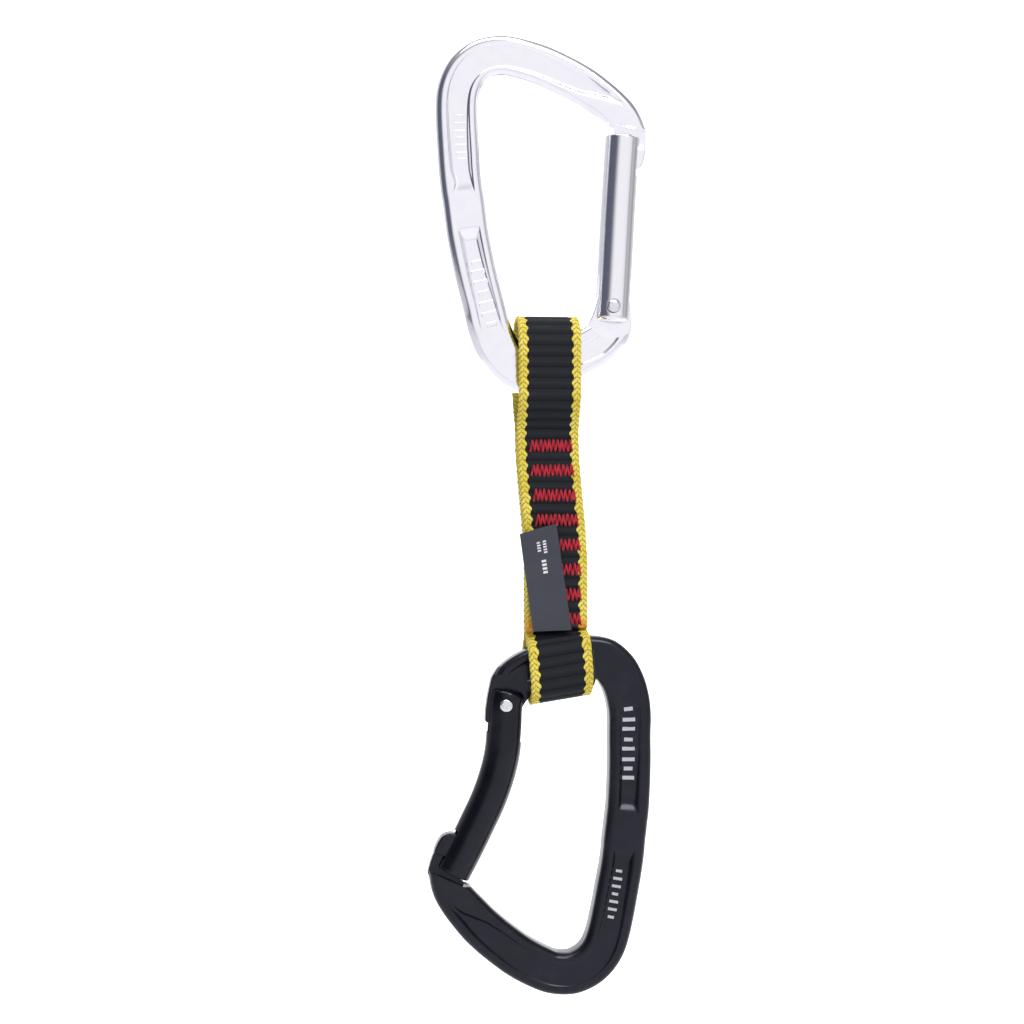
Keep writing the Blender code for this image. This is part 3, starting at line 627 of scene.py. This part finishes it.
def make_stage():
    """A pale floor that curves up into a pale wall, an even world and two lamps."""
    floor_z = CAD_BOX[0][2] / MM - 45.0
    wall_y, bend, top = 620.0, 260.0, 1400.0
    profile = [(-1600.0, floor_z), (wall_y - bend, floor_z)]
    for k in range(1, 17):
        angle = math.pi / 2 * k / 16
        y = wall_y - bend + bend * math.sin(angle)
        profile.append((y, floor_z + bend * (1 - math.cos(angle))))
    profile.append((wall_y, top))
    points, faces = [], []
    for y, z in profile:
        points += [(-2200.0, y, z), (2200.0, y, z)]
    for i in range(len(profile) - 1):
        faces.append((2 * i, 2 * i + 1, 2 * i + 3, 2 * i + 2))
    sweep = new_object("studio_sweep", points, faces)
    material, tree, shader = nodes_of("studio_paper")
    spots = noise_node(tree, coordinates(tree), 6.0, 3.0)
    place = tree.nodes.new("ShaderNodeSeparateXYZ")
    tree.links.new(coordinates(tree), place.inputs[0])
    aside = math_node(tree, "ABSOLUTE", math_node(tree, "SUBTRACT", place.outputs[0], 0.074))
    near = ranged(tree, place.outputs[1], -0.02, 0.12, 0.85, 0.0)
    fade = math_node(tree, "MAXIMUM", ranged(tree, aside, 0.36, 0.50), near)
    paper = mixed(tree, spots, (0.86, 0.86, 0.87), (0.89, 0.89, 0.90))
    tree.links.new(mixed(tree, fade, paper, (0.48, 0.48, 0.50)), shader.inputs["Base Color"])
    glow = mixed(tree, fade, (1.0, 1.0, 1.0), (0.42, 0.42, 0.45))
    tree.links.new(glow, shader.inputs["Emission Color"])
    shader.inputs["Roughness"].default_value = 0.9
    shader.inputs["Emission Strength"].default_value = 0.72
    sweep.data.materials.append(material)

    world = bpy.data.worlds.new("studio")
    bpy.context.scene.world = world
    world.use_nodes = True
    tree = world.node_tree
    source = tree.nodes.new("ShaderNodeTexCoord")
    split = tree.nodes.new("ShaderNodeSeparateXYZ")
    tree.links.new(source.outputs["Generated"], split.inputs[0])
    front = math_node(tree, "MULTIPLY", split.outputs[1], -1.0)
    angle = math_node(tree, "ARCTAN2", split.outputs[0], front)
    angle = math_node(tree, "MULTIPLY", angle, 180 / math.pi)
    # The tent is bright behind the camera and greyer towards its sides.
    facing = ranged(tree, front, -0.25, 0.85)
    tent = mixed(tree, facing, (0.36, 0.36, 0.38), (1.0, 0.99, 1.03))
    # A dark screen stands to the left of the camera, a thin one to the right.
    left = math_node(
        tree, "MULTIPLY",
        ranged(tree, angle, -100.0, -84.0), ranged(tree, angle, -44.0, -10.0, 1.0, 0.0),
    )
    right = math_node(
        tree, "MULTIPLY",
        ranged(tree, angle, 60.0, 66.0), ranged(tree, angle, 70.0, 76.0, 1.0, 0.0),
    )
    level = math_node(tree, "ABSOLUTE", split.outputs[2])
    low_part = ranged(tree, level, 0.5, 0.85, 1.0, 0.0)
    dark = math_node(tree, "MULTIPLY_ADD", right, 0.5, math_node(tree, "MULTIPLY", left, 0.95))
    dark = math_node(tree, "MULTIPLY", dark, low_part)
    colour = mixed(tree, dark, tent, (0.075, 0.085, 0.135))
    # Overhead and floor bands draw grey lines along rounded edges.
    above = math_node(
        tree, "MULTIPLY",
        ranged(tree, split.outputs[2], 0.45, 0.6),
        ranged(tree, split.outputs[2], 0.75, 0.9, 1.0, 0.0),
    )
    below = ranged(tree, split.outputs[2], -0.5, -0.8)
    band = math_node(tree, "MAXIMUM", math_node(tree, "MULTIPLY", above, 0.55),
                     math_node(tree, "MULTIPLY", below, 0.6))
    colour = mixed(tree, band, colour, (0.16, 0.16, 0.19))
    background = tree.nodes["Background"]
    tree.links.new(colour, background.inputs["Color"])
    background.inputs["Strength"].default_value = 0.92

    def lamp(name, place, size, power, aim=(0.0, 0.0, -0.12)):
        data = bpy.data.lights.new(name, "AREA")
        data.shape = "RECTANGLE"
        data.size, data.size_y = size
        data.energy = power
        obj = bpy.data.objects.new(name, data)
        obj.location = place
        way = Vector(aim) - Vector(place)
        obj.rotation_euler = way.to_track_quat("-Z", "Y").to_euler()
        bpy.context.collection.objects.link(obj)

    lamp("key", (0.35, -0.75, 0.70), (0.35, 0.35), 4.5)
    lamp("top", (-0.1, -0.35, 0.95), (0.7, 0.5), 4.0)
    view = bpy.context.scene.view_settings
    view.view_transform = "Standard"
    view.look = "None"


# ------------------------ carabiners
def frame_rows():
    """Middle, half width as a vector, thickness and corner radius."""
    ways = headings(FRAME_PATH)
    for i, facing in enumerate(NOSE_FACING):
        angle = math.radians(facing)
        ways[i] = (math.sin(angle), math.cos(angle))
    rows = []
    for i, ((x, z, wider), way) in enumerate(zip(FRAME_PATH, ways)):
        thick = FRAME_THICKNESS if i < BASKET_START else BASKET_THICKNESS
        radius = BASKET_RADIUS if BASKET_START <= i < HINGE_START else EDGE_RADIUS
        half = (FRAME_WIDTH + wider) / 2
        rows.append((x, z, half * way[1], -half * way[0], thick, radius))
    return smoothed(rows, FRAME_STATIONS)


def pocket_rows(rows, side):
    """Outer rim, inner rim and depth at every station."""
    keys = []
    for x, z, outer, inner, depth in POCKETS:
        if side == "upper" and 29.0 < z < 35.0:
            # The upper frame's first pocket runs out in a taper.
            outer, inner, depth = {34.0: (3.0, 1.5, 1.0), 30.9: (3.9, 1.9, 0.6)}[z]
        near = min(range(len(rows)), key=lambda i: math.dist(rows[i][:2], (x, z)))
        keys.append((near, outer, inner, depth))
    keys = [(0, *keys[0][1:3], 0.0)] + keys + [(len(rows) - 1, *keys[-1][1:])]
    raw = []
    for station in range(len(rows)):
        j = max(i for i in range(len(keys) - 1) if keys[i][0] <= station)
        a, b = keys[j], keys[j + 1]
        part = (station - a[0]) / max(1, b[0] - a[0])
        raw.append([p + (q - p) * part for p, q in zip(a[1:], b[1:])])
    found = []
    for i in range(len(raw)):
        near = raw[max(0, i - 2): i + 3]
        found.append([sum(column) / len(near) for column in zip(*near)])
    return found


def face_points(half, thick, radius, outer_rim, inner_rim, depth):
    """Points of the front face from the inner edge to the outer edge, as (u, v)."""
    radius = min(radius, thick / 2 - 0.02)
    points = []
    for k in range(9):
        angle = math.pi / 2 * k / 8
        u = half - radius + radius * math.cos(angle)
        points.append((u, thick - radius + radius * math.sin(angle)))
    flat = half - radius
    wall = 0.35 + 0.8 * depth
    start = min(half - inner_rim, flat - 0.15)
    end = max(-half + outer_rim, -flat + 0.15)
    if start - end < 2 * wall + 0.6:
        middle = (start + end) / 2
        start, end = middle + wall + 0.3, middle - wall - 0.3
        start, end = min(start, flat - 0.1), max(end, -flat + 0.1)
        wall = (start - end) / 2 - 0.2
    profile = [(flat + (start - flat) * 0.5, 0.0)]
    for k in range(6):
        profile.append((start - wall * k / 5, ease(k / 5)))
    for k in range(1, 6):
        a, b = start - wall, end + wall
        profile.append((a + (b - a) * k / 6, 1.0))
    for k in range(6):
        profile.append((end + wall * (1 - k / 5), ease(1 - k / 5)))
    profile.append((-flat + (end + flat) * 0.5, 0.0))
    for u, share in profile:
        points.append((u, thick - depth * share))
    left = []
    for k in range(9):
        angle = math.pi / 2 * (8 - k) / 8
        u = -(half - radius + radius * math.cos(angle))
        left.append((u, thick - radius + radius * math.sin(angle)))
    points += left
    return [(u, v - CROWN * (u / half) ** 2) for u, v in points]


def make_frame(side, material):
    rows = frame_rows()
    rings = []
    for row, (outer, inner, depth) in zip(rows, pocket_rows(rows, side)):
        x, z, half_x, half_z, thick, radius = row
        half = math.hypot(half_x, half_z)
        top = face_points(half, thick / 2, radius, outer, inner, depth)
        section = top + [(u, -v) for u, v in reversed(top)]
        rings.append([(x + u * half_x / half, v, z + u * half_z / half) for u, v in section])
    body = lofted(side + "_frame_look", rings)
    relief_pin = cross_pin("cut", ((-9, SHOULDER_RADIUS), (9, SHOULDER_RADIUS)), 160)
    combine(body, relief_pin, "DIFFERENCE")
    half = TANG_THICKNESS / 2
    combine(body, plate("tang", rounded(TANG, 0.6), -half, half, 0.35), "UNION")
    combine(body, plate("neck", rounded(NECK, 0.5), -1.6, 1.6, 0.2), "UNION")
    combine(body, plate("nose", rounded(NOSE, 0.9), -2.5, 2.5, 0.55), "UNION")
    combine(body, cross_pin("hole", ((-9, 1.7), (9, 1.7))), "DIFFERENCE")
    softened(body, 0.22, 38.0)
    body.data.transform(PLACES[side])
    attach(body, side + "_frame")
    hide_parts(side + "_frame")
    paint(body, material)
    return rows


def make_marks(side, material, spans, rise):
    """Plain bars across the pocket floors, where such frames carry their marking."""
    rows = frame_rows()
    pockets = pocket_rows(rows, side)
    ways = headings(rows)
    points, faces = [], []
    for z_from, z_to, count, wide, long in spans:
        for k in range(count):
            want = z_from + (z_to - z_from) * k / (count - 1)
            i = min(
                (i for i in range(len(rows)) if rows[i][0] > 30.0),
                key=lambda i: abs(rows[i][1] - want),
            )
            x, z, half_x, half_z, thick, _ = rows[i]
            half = math.hypot(half_x, half_z)
            floor = thick / 2 - pockets[i][2] - CROWN * (0.7 / half) ** 2
            reach = wide / 2 * (1.0 if k % 3 else 0.7)
            start = len(points)
            for y in (floor - 0.05, floor + rise):
                inset = 0.0 if y < floor else rise
                for u, v in ((-1, -1), (1, -1), (1, 1), (-1, 1)):
                    across, along = 0.7 + u * (reach - inset), v * (long / 2 - inset)
                    points.append((
                        x + across * half_x / half + along * ways[i][0], y,
                        z + across * half_z / half + along * ways[i][1],
                    ))
            for face in ((0, 1, 2, 3), (4, 7, 6, 5), (0, 4, 5, 1), (1, 5, 6, 2),
                         (2, 6, 7, 3), (3, 7, 4, 0)):
                faces.append(tuple(start + n for n in face))
    marks = new_object(side + "_marks_look", points, faces)
    smooth_by_angle(marks, 20.0)
    marks.data.transform(PLACES[side])
    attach(marks, side + "_frame")
    marks.data.materials.append(material)


def rounded(outline, radius, steps=4):
    """The outline with its corners cut to short arcs."""
    count = len(outline)
    found = []
    for i in range(count):
        p, a, b = Vector(outline[i]), Vector(outline[i - 1]), Vector(outline[(i + 1) % count])
        reach = min(radius, 0.4 * (a - p).length, 0.4 * (b - p).length)
        start, end = p + (a - p).normalized() * reach, p + (b - p).normalized() * reach
        for k in range(steps + 1):
            t = k / steps
            found.append(tuple((1 - t) ** 2 * start + 2 * t * (1 - t) * p + t * t * end))
    return found


def make_gate(side, line, stations, material):
    rows = smoothed(line, stations)
    ways = headings(rows)
    base, tip = 1.5, 0.7
    rings = []

    def ring(x, z, way, radius):
        return [(x + u * way[1], v, z - u * way[0]) for u, v in circle(radius, 96)]

    for k in range(8):
        angle = math.pi / 2 * k / 8
        up, radius = base * (1 - math.cos(angle)), GATE_RADIUS - base * (1 - math.sin(angle))
        x, z = (rows[0][i] + ways[0][i] * up for i in (0, 1))
        rings.append(ring(x, z, ways[0], radius))
    passed = 0.0
    for i in range(1, len(rows) - 1):
        passed += math.dist(rows[i][:2], rows[i - 1][:2])
        left = math.dist(rows[i][:2], rows[-1][:2])
        if passed > base and left > tip:
            rings.append(ring(rows[i][0], rows[i][1], ways[i], GATE_RADIUS))
    for k in range(7):
        angle = math.pi / 2 * k / 6
        back = tip * (1 - math.sin(angle))
        x, z = (rows[-1][i] - ways[-1][i] * back for i in (0, 1))
        rings.append(ring(x, z, ways[-1], GATE_RADIUS - tip * (1 - math.cos(angle))))
    gate = lofted(side + "_gate_look", rings)
    reach = 2 * GATE_RADIUS
    slot = TANG_THICKNESS / 2 + GAP
    bore = long_pin("bore", ((6.2, 2.5), (BORE_END[side], 2.5)))
    bore.data.transform(Matrix.Rotation(math.radians(BORE_TILT[side]), 4, "Y"))
    for tool in (
        box("slot", (-reach, -slot, -reach), (reach, slot, 8.7)),
        bore,
        cross_pin("hole", ((-reach, 1.7), (reach, 1.7))),
        cross_pin("sink_a", ((4.3, 2.05), (reach, 2.05))),
        cross_pin("sink_b", ((-reach, 2.05), (-4.3, 2.05))),
        box("keyhole", (-reach, -2.9, 37.4), (3.2, 2.9, 45.7)),
        box("keyslot", (-reach, -2.0, 38.4), (3.2, 2.0, 60.0)),
    ):
        combine(gate, tool, "DIFFERENCE")
    softened(gate, 0.2, 40.0)
    gate.data.transform(PLACES[side])
    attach(gate, side + "_gate")
    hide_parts(side + "_gate")
    paint(gate, material)


def make_rivet(side, material):
    """Axle with two domed, peened heads."""
    sides = 40
    steps = [(4.6, RIVET_RADIUS), (4.6, RIVET_HEAD)]
    for k in range(9):
        angle = math.pi / 2 * k / 8
        steps.append((4.85 + 0.5 * math.sin(angle), RIVET_HEAD * math.cos(angle) ** 0.6 + 0.02))
    steps = [(-y, r) for y, r in reversed(steps)] + steps
    rings = []
    for y, r in steps:
        ring = []
        for x, z in circle(r, sides):
            dent = 0.0
            if abs(y) > 4.9:
                spot = Vector((x * 1.3, y * 0.4, z * 1.3)) + Vector((3, 1, 9))
                dent = 0.16 * noise.noise(spot)
            ring.append((x, y + math.copysign(dent, y), z))
        rings.append(ring)
    rivet = lofted(side + "_rivet_look", rings)
    smooth_by_angle(rivet, 50.0)
    rivet.data.transform(PLACES[side])
    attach(rivet, side + "_frame")
    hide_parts(side + "_hinge_rivet")
    paint(rivet, material)


def tube(name, points, radius, sides=8):
    """A closed round tube along points, with a map round and along it."""
    rings, uvs, passed = [], [], 0.0
    vectors = [Vector(p) for p in points]
    for i, p in enumerate(vectors):
        ahead, behind = vectors[min(i + 1, len(vectors) - 1)], vectors[max(i - 1, 0)]
        way = (ahead - behind).normalized()
        aside = way.cross(Vector((0, 1, 0)))
        if aside.length < 0.05:
            aside = way.cross(Vector((1, 0, 0)))
        aside.normalize()
        other = way.cross(aside)
        if i:
            passed += (p - vectors[i - 1]).length
        ring = []
        for k in range(sides):
            angle = 2 * math.pi * k / sides
            q = p + (aside * math.cos(angle) + other * math.sin(angle)) * radius
            ring.append(tuple(q))
            uvs.append((k / sides, passed * MM))
        rings.append(ring)
    return lofted(name, rings, uvs=uvs)


# ------------------------ sling
def joined(start, end, steps):
    found = []
    for i in range(1, steps):
        t = i / steps
        y = start[0] + (end[0] - start[0]) * ease(t)
        found.append((y, start[1] + (end[1] - start[1]) * t))
    return found


def straight(y, top, bottom, steps):
    return [(y, top + (bottom - top) * i / steps) for i in range(steps + 1)]


def fold(half, centre_z, upward, steps=48):
    found = []
    for i in range(1, steps):
        angle = math.pi * i / steps
        rise = half * math.sin(angle)
        found.append((-half * math.cos(angle), centre_z + (rise if upward else -rise)))
    return found


def layer_y(number):
    return STACK_SHIFT + (number - 1) * (WEB_THICKNESS + GAP)


def webbing_line():
    """Centre line in y and z, from the strip's front end to its inner end."""
    front, middle, back = layer_y(0), layer_y(1), layer_y(2)
    up, low = UPPER_LOOP_HALF, LOWER_LOOP_HALF
    line = straight(front, FRONT_END_Z, UPPER_JOIN_END, 20)
    line += joined((front, UPPER_JOIN_END), (-up, UPPER_JOIN_TOP), 30)
    line += straight(-up, UPPER_JOIN_TOP, UPPER_FOLD_Z, 6)
    line += fold(up, UPPER_FOLD_Z, True)
    line += straight(up, UPPER_FOLD_Z, UPPER_JOIN_TOP, 6)
    line += joined((up, UPPER_JOIN_TOP), (back, UPPER_JOIN_END), 30)
    line += straight(back, UPPER_JOIN_END, LOWER_JOIN_TOP, 20)
    line += joined((back, LOWER_JOIN_TOP), (low, LOWER_JOIN_END), 30)
    line += straight(low, LOWER_JOIN_END, LOWER_FOLD_Z, 4)
    line += list(reversed(fold(low, LOWER_FOLD_Z, False)))
    line += straight(-low, LOWER_FOLD_Z, LOWER_JOIN_END, 4)
    line += joined((-low, LOWER_JOIN_END), (middle, LOWER_JOIN_TOP), 30)
    line += straight(middle, LOWER_JOIN_TOP, INNER_END_Z, 20)
    return line


def total_length():
    line = webbing_line()
    return sum(math.dist(a, b) for a, b in zip(line, line[1:]))


def sling_centre(z):
    drift = 2.5 * ease((UPPER_JOIN_END - z) / 38.71)
    step = 1.3 * ease((-152.0 - z) / 22.4)
    return 13.1 + drift + step


def slanted(x, y, z):
    share = ease((-152.0 - z) / 5.5)
    turn = math.tan(math.radians(9.0)) * share
    return (x, y, z + (x - sling_centre(z)) * turn)


def make_strip(name, line, half_width, half_thick, shift, relief, spacing, columns):
    """A strip with rounded edges along a line; relief adds height to its faces."""
    total = sum(math.dist(a, b) for a, b in zip(line, line[1:]))
    rows = even_rows(line, int(total / spacing))
    ways = headings(rows)
    points, uvs = [], []
    section = []
    for k in range(columns + 1):
        section.append((-half_width + 2 * half_width * k / columns, 1))
    for k in range(1, 4):
        section.append((half_width, 1 - k / 2))
    for k in range(columns + 1):
        section.append((half_width - 2 * half_width * k / columns, -1))
    for k in range(1, 4):
        section.append((-half_width, -1 + k / 2))
    step = total / (len(rows) - 1)
    for i, ((y, z), way) in enumerate(zip(rows, ways)):
        along = i * step
        centre = sling_centre(z) + shift
        # The strip thins to a sealed edge at its two cut ends.
        end = min(along, total - along)
        thin = 0.72 + 0.28 * ease(end / 1.2)
        for across, face in section:
            edge = half_width - abs(across)
            round_off = math.sqrt(max(0.0, 1 - max(0.0, 1 - edge / 0.7) ** 2))
            height = half_thick * thin * face * (0.45 + 0.55 * round_off)
            if abs(face) == 1:
                height += face * relief(across + half_width, along, y, z, face) * round_off
            bulge = 0.0
            if edge < 0.01:
                bulge = EDGE_ROUND * (1 - face * face) + EDGE_WAVE * wave(along) - EDGE_INSET
                bulge *= math.copysign(1.0, across)
            off = (way[1] * height, -way[0] * height)
            points.append(slanted(centre + across + bulge, y + off[0], z + off[1]))
            uvs.append(((across + half_width) / 100, along / 100))
    return new_object(name, points, ring_faces(len(rows), len(section)), uvs)


def wave(along):
    return math.cos(2 * math.pi * along / RIB)


def webbing_relief(across, along, y, z, face):
    """Rounded ribs in the middle and braided beads along both edges."""
    if face > 0:
        in_loop = z > UPPER_JOIN_END or z < LOWER_JOIN_TOP
        return -LOOP_SINK if in_loop else -STACK_SINK
    edge = min(across, WEB_WIDTH - across)
    rib = abs(math.sin(math.pi * (along / RIB + 0.25)))
    centre = 0.38 * rib ** 0.65 - 0.21
    column = 0 if edge < 1.35 else 1
    phase = along / RIB + (0.5 if column else 0.0)
    lobe = abs(math.sin(math.pi * phase)) ** 0.6
    hump = math.sin(math.pi * min(1.0, max(0.0, (edge - 1.35 * column) / 1.35)))
    border = 2.5 + 0.3 * math.sin(2 * math.pi * along / RIB)
    blend = ease((edge - border + 0.25) / 0.5)
    side = -0.10 + 0.36 * lobe * max(0.0, hump) ** 0.6
    height = side * (1 - blend) + centre * blend
    # Bar tacks pull the front and back faces in.
    if (abs(y - layer_y(0)) < 0.05 or abs(y - layer_y(2)) < 0.05) and 2.5 < across < 15.1:
        pitch = (TACK_LAST - TACK_FIRST) / (TACK_COUNT - 1)
        number = round((z - TACK_FIRST) / pitch)
        if 0 <= number < TACK_COUNT:
            near = abs(z - TACK_FIRST - number * pitch)
            height -= 0.12 * ease((2.4 - near) / 0.8)
    return height


def make_webbing(material):
    strip = make_strip(
        "webbing_look", webbing_line(), WEB_WIDTH / 2, WEB_THICKNESS / 2, 0.0,
        webbing_relief, 0.36, 56,
    )
    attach(strip, "sling")
    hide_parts("sling_webbing")
    paint(strip, material)


def make_tacks(material):
    """Dense zigzag stitching on both faces of the stack, two passes each."""
    pitch = (TACK_LAST - TACK_FIRST) / (TACK_COUNT - 1)
    for number in range(TACK_COUNT):
        z0 = TACK_FIRST + number * pitch
        centre = sling_centre(z0) + 0.7
        verts, faces, uvs = [], [], []
        for face_y, out in ((layer_y(0) - 0.9, -1), (layer_y(2) + 0.9, 1)):
            for shift in (0, 1):
                # Two threads side by side in one zigzag.
                peaks, tall, thick = 20, 1.75, 0.17
                width = TACK_WIDTH - 0.8
                random.seed(number * 7 + (3 if out > 0 else 0))
                path = []
                for k in range(peaks + 1):
                    high = tall if k % 2 else -tall
                    nudge = random.uniform(-0.06, 0.06) + 0.22 * shift
                    path.append((-width / 2 + width * k / peaks + nudge,
                                 high * random.uniform(0.86, 1.06)))
                dense = []
                for a, b in zip(path, path[1:]):
                    for s in range(6):
                        t = s / 6
                        dense.append((a[0] + (b[0] - a[0]) * t, a[1] + (b[1] - a[1]) * t, t))
                dense.append((*path[-1], 0.0))
                points = []
                for x, high, t in dense:
                    lift = 0.12 + 0.14 * math.sin(math.pi * t)
                    points.append((centre + x, face_y + out * lift, z0 + high))
                start = len(verts)
                part = tube("pass", points, thick, 8)
                mesh = part.data
                verts += [tuple(c / MM for c in v.co) for v in mesh.vertices]
                part_uvs = [None] * len(mesh.vertices)
                for loop in mesh.loops:
                    part_uvs[loop.vertex_index] = tuple(mesh.uv_layers[0].data[loop.index].uv)
                uvs += part_uvs
                faces += [tuple(start + i for i in p.vertices) for p in mesh.polygons]
                bpy.data.objects.remove(part, do_unlink=True)
        tack = new_object(f"tack_{number + 1}_stitches", verts, faces, uvs)
        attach(tack, "sling")
        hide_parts(f"bar_tack_{number + 1}")
        paint(tack, material)


def make_label(material):
    """Thin tape, stitched at its foot and lifting a little at its free end."""
    low, high = (Vector(c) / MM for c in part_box("label"))
    centre = sling_centre(FRONT_END_Z)
    corners = [(-10.8, 26.7), (-0.6, 29.6), (3.9, -0.1), (-6.9, -0.4)]
    tl, tr, br, bl = [Vector((centre + x, FRONT_END_Z + z)) for x, z in corners]
    columns, rows = 24, 60
    points, uvs = [], []
    for face in (0, 1):
        for j in range(rows + 1):
            v = j / rows
            for i in range(columns + 1):
                u = i / columns
                p = (bl * (1 - v) + tl * v) * (1 - u) + (br * (1 - v) + tr * v) * u
                lift = 0.9 * ease((v - 0.55) / 0.45) ** 1.5 + 0.35 * math.sin(math.pi * v) ** 2
                lift += 0.3 * (u - 0.5) ** 2 * 4 * v
                y = high[1] - lift - (0.45 if face else 0.0)
                points.append((p[0], y, p[1]))
                uvs.append((u, v))
    count = (columns + 1) * (rows + 1)
    faces = []
    for j in range(rows):
        for i in range(columns):
            a = j * (columns + 1) + i
            b, c, d = a + 1, a + columns + 2, a + columns + 1
            faces.append((a, b, c, d))
            faces.append((count + a, count + d, count + c, count + b))
    rim = list(range(columns))
    rim += [columns + j * (columns + 1) for j in range(rows)]
    rim += [rows * (columns + 1) + columns - i for i in range(columns)]
    rim += [(rows - j) * (columns + 1) for j in range(rows)]
    for k, a in enumerate(rim):
        b = rim[(k + 1) % len(rim)]
        faces.append((a, count + a, count + b, b))
    label = new_object("label_tape_look", points, faces, uvs)
    smooth_by_angle(label, 50.0)
    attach(label, "sling")
    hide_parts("label")
    paint(label, material)


def make_keeper(material):
    top = LOWER_FOLD_Z + KEEPER_LENGTH
    line = straight(-KEEPER_HALF, top, LOWER_FOLD_Z, 4)
    line += fold(KEEPER_HALF, LOWER_FOLD_Z, False)
    line += straight(KEEPER_HALF, LOWER_FOLD_Z, top, 4)

    def relief(across, along, y, z, face):
        return -0.3 if face < 0 else 0.03 * math.cos(2 * math.pi * along / 1.4)

    keeper = make_strip(
        "keeper_look", line, KEEPER_HALF_WIDTH, KEEPER_THICKNESS / 2, KEEPER_SHIFT,
        relief, 0.3, 30,
    )
    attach(keeper, "sling")
    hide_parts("keeper")
    paint(keeper, material)


# ------------------------ build
make_camera()
make_stage()
silver = metal(
    "polished_aluminium", (0.97, 0.965, 0.995), 0.11, 0.07, tint=(0.94, 0.935, 0.975),
)
gate_silver = metal("gate_aluminium", (0.93, 0.93, 0.95), 0.15, 0.06)
steel = metal("rivet_steel", (0.80, 0.80, 0.82), 0.16, 0.12)
wire = metal("spring_steel", (0.55, 0.55, 0.57), 0.28, 0.1)
black = anodised("black_anodised", (0.0042, 0.0046, 0.0075), 0.26)
gate_black = anodised("gate_black", (0.0025, 0.003, 0.0045), 0.20)
make_frame("upper", silver)
make_frame("lower", black)
make_gate("upper", STRAIGHT_GATE, 90, gate_silver)
make_gate("lower", BENT_GATE, 110, gate_black)
marking, marking_tree, marking_shader = nodes_of("marking_grey")
speckle = noise_node(marking_tree, coordinates(marking_tree), 2500.0, 2.0)
marking_tree.links.new(
    mixed(marking_tree, speckle, (0.42, 0.42, 0.45), (0.62, 0.62, 0.66)),
    marking_shader.inputs["Base Color"],
)
marking_shader.inputs["Roughness"].default_value = 0.55
make_marks("upper", silver, ((49.0, 37.0, 7, 3.0, 0.8), (9.0, -8.0, 7, 4.2, 1.3)), 0.14)
make_marks("lower", marking, ((-9.5, 9.0, 8, 3.6, 1.1), (34.5, 47.5, 7, 2.6, 0.8)), 0.03)
for side in ("upper", "lower"):
    make_rivet(side, steel)
    for hidden in ("_gate_plunger", "_gate_spring"):
        piece = frame["nodes"][side + hidden]
        piece.data.materials.clear()
        piece.data.materials.append(wire)
make_webbing(webbing_material())
make_tacks(thread_material("red_thread", (0.24, 0.006, 0.015), (0.58, 0.022, 0.045)))
make_label(label_material())
make_keeper(rubber_material())
